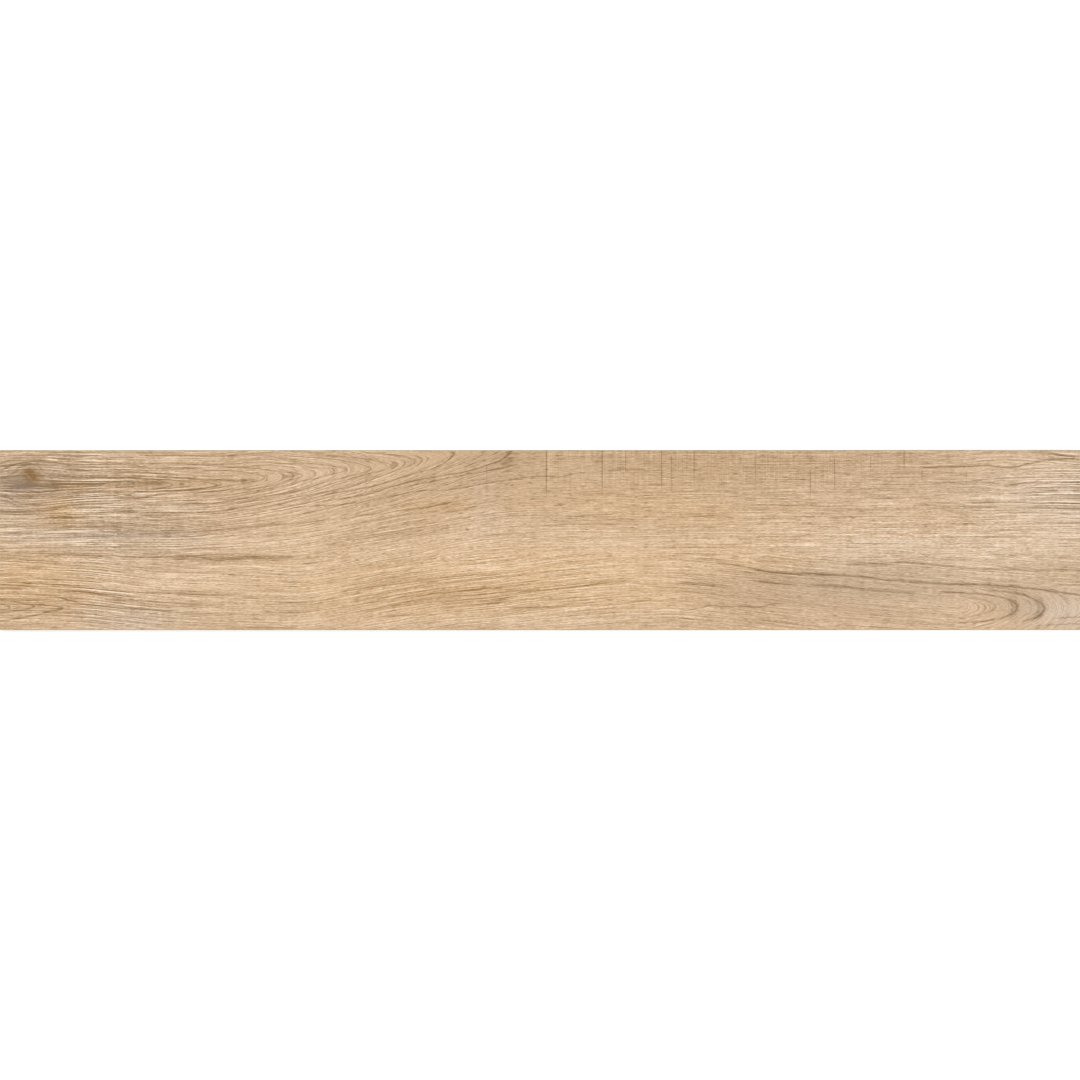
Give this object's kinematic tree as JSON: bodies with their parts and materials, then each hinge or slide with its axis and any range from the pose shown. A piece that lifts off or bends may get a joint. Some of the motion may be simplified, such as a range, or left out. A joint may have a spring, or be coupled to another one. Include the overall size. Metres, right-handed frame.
{
  "type": "wood-effect porcelain plank tile",
  "caption": "Long flat porcelain plank tile with a wood-effect printed face, ground bevelled edges and a shallow key pattern on its back, for tiling floors and walls.",
  "frame": {"origin": "middle of the back, on the plane that the ribs of the back rest on", "axes": "+X along the plank, +Y across it, +Z out of the printed face"},
  "size_m": [1.2, 0.2, 0.009],
  "materials": {
    "printed_porcelain": "matte"
  },
  "bodies": {
    "root": {"porcelain_tile": "printed_porcelain"}
  },
  "joints": []
}
